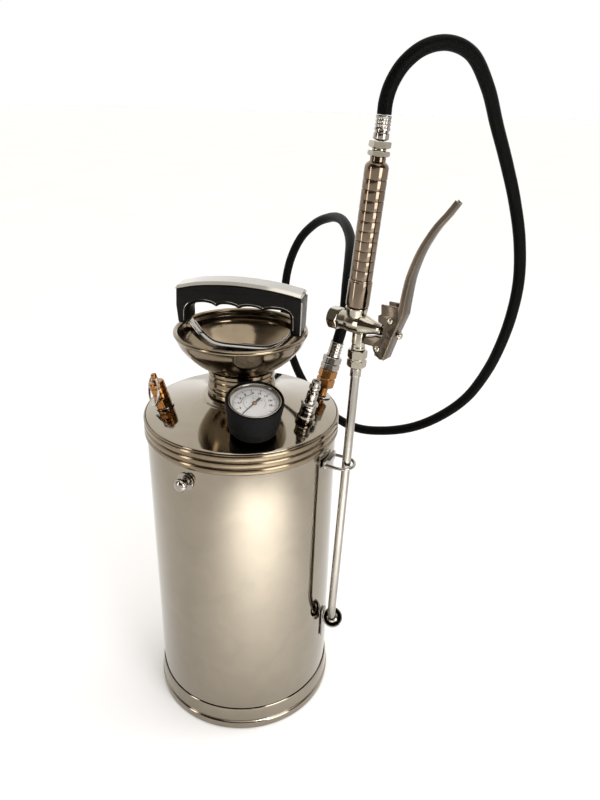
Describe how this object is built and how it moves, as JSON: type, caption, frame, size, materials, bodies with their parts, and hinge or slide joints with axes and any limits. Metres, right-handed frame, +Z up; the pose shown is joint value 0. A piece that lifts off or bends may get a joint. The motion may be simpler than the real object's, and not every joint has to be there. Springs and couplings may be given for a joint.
{
  "type": "pump sprayer",
  "caption": "Stainless compression sprayer: upright tank with a D-handle hand pump, pressure gauge, relief and air valves, and a hose to a trigger-operated spray wand.",
  "frame": {"origin": "on the floor, under the middle of the outline of everything but the hose", "axes": "+Z up; -Y is the front, where the gauge faces; +X is the side the spray wand stands on"},
  "size_m": [0.3557, 0.4042, 0.6405],
  "materials": {
    "tank_steel": "satin, nearly a mirror",
    "neck_steel": "polished",
    "pump_black": "gloss",
    "seal_rubber": "matte",
    "barrel_steel": "drawn",
    "fitting_brass": "turned, bright",
    "cup_leather": "oiled",
    "bright_chrome": "mirror",
    "handle_black": "gloss",
    "boot_rubber": "satin",
    "dial_white": "matte",
    "pointer_black": "satin",
    "lens_clear": "clear",
    "spring_wire": "drawn wire",
    "strainer_black": "matte",
    "hose_rubber": "satin",
    "gun_nickel": "dark nickel plate",
    "fitting_nickel": "pale nickel plate",
    "lever_bronze": "dark nickel plate"
  },
  "bodies": {
    "tank": {"tank_shell": "tank_steel", "tank_bottom": "tank_steel", "foot_ring": "tank_steel", "tank_lid": "tank_steel", "rim_ring": "neck_steel", "tank_neck": "neck_steel", "funnel_bowl": "neck_steel", "gauge_stem": "fitting_brass", "safety_body": "fitting_brass", "outlet_fitting": "fitting_brass", "gauge_case": "bright_chrome", "gauge_bezel": "bright_chrome", "inlet_base": "bright_chrome", "inlet_plug": "bright_chrome", "outlet_nut_lower": "bright_chrome", "outlet_nut_upper": "bright_chrome", "outlet_ferrule": "bright_chrome", "dip_tube": "bright_chrome", "gun_ferrule": "bright_chrome", "wand_tube": "bright_chrome", "wand_loop": "bright_chrome", "wand_cup": "bright_chrome", "wand_cup_bracket": "bright_chrome", "strap_stud": "bright_chrome", "gauge_boot": "boot_rubber", "gauge_dial": "dial_white", "gauge_lens": "lens_clear", "safety_spring": "spring_wire", "valve_spring": "spring_wire", "dip_strainer": "strainer_black", "hose": "hose_rubber", "gun_grip": "gun_nickel", "gun_nut_lower": "fitting_nickel", "gun_nut_upper": "fitting_nickel", "valve_body": "fitting_nickel", "valve_cap": "fitting_nickel", "wand_nut": "fitting_nickel", "lever_pivot_pin": "fitting_nickel", "lever_bracket": "lever_bronze"},
    "pump": {"pump_cap": "pump_black", "pump_gasket": "seal_rubber", "pump_barrel": "barrel_steel", "pump_check_seat": "fitting_brass"},
    "pump_check": {"pump_check_disc": "seal_rubber"},
    "plunger": {"pump_rod": "bright_chrome", "plunger_cup": "cup_leather", "plunger_nut": "fitting_brass", "handle_hub": "bright_chrome", "handle_grip": "handle_black", "handle_trim": "bright_chrome", "handle_yoke": "bright_chrome"},
    "pointer": {"gauge_pointer": "pointer_black"},
    "relief_stem": {"safety_stem": "fitting_brass"},
    "relief_ring": {"safety_ring": "spring_wire"},
    "inlet_valve": {"inlet_poppet": "fitting_brass"},
    "trigger": {"lever": "lever_bronze", "lever_bolt": "fitting_nickel", "lever_screw": "fitting_nickel"},
    "spray_valve": {"valve_plunger": "fitting_brass"},
    "nozzle": {"wand_nozzle": "fitting_nickel"}
  },
  "joints": [
    {"name": "pump_turn", "type": "hinge", "parent": "tank", "child": "pump", "pos_m": [-0.03687, 0.00014, 0.375], "axis": [0, 0, 1], "range_deg": [0, 540]},
    {"name": "pump_check_lift", "type": "slide", "parent": "pump", "child": "pump_check", "axis": [0, 0, -1], "range_m": [0, 0.003], "stiffness_N_per_m": 100},
    {"name": "pump_stroke", "type": "slide", "parent": "pump", "child": "plunger", "axis": [0, 0, 1], "range_m": [0, 0.22]},
    {"name": "gauge_needle", "type": "hinge", "parent": "tank", "child": "pointer", "pos_m": [-0.01977, -0.06843, 0.36436], "axis": [-0.0626, 0.2511, -0.9659], "range_deg": [0, 270], "stiffness_Nm_per_rad": 0.001, "springref_deg": -5.73},
    {"name": "relief_pull", "type": "slide", "parent": "tank", "child": "relief_stem", "axis": [-0.2543, -0.0481, 0.9659], "range_m": [0, 0.003], "stiffness_N_per_m": 800, "springref_m": -0.005, "deforming": ["safety_spring"]},
    {"name": "relief_ring_swing", "type": "hinge", "parent": "relief_stem", "child": "relief_ring", "pos_m": [-0.11511, -0.01464, 0.36134], "axis": [-0.4889, 0.8681, -0.0855], "range_deg": [0, 120]},
    {"name": "inlet_open", "type": "slide", "parent": "tank", "child": "inlet_valve", "axis": [-0.2255, 0.1271, -0.9659], "range_m": [0, 0.0015], "stiffness_N_per_m": 300, "springref_m": -0.001},
    {"name": "trigger_squeeze", "type": "hinge", "parent": "tank", "child": "trigger", "pos_m": [0.08309, -0.05661, 0.41324], "axis": [-0.5869, -0.8088, 0.0374], "range_deg": [0, 16], "stiffness_Nm_per_rad": 0.5, "springref_deg": -17.19},
    {"name": "spray_valve_open", "type": "slide", "parent": "tank", "child": "spray_valve", "axis": [-0.8089, 0.5877, 0.0154], "range_m": [0, 0.0045], "deforming": ["valve_spring"]},
    {"name": "nozzle_turn", "type": "hinge", "parent": "tank", "child": "nozzle", "pos_m": [0.05774, -0.04078, 0.10662], "axis": [0.1286, 0.6073, -0.784], "range_deg": [0, 270]}
  ],
  "couplings": [
    {"joint": "spray_valve_open", "follows": "trigger_squeeze", "m_per_rad": 0.0155}
  ]
}
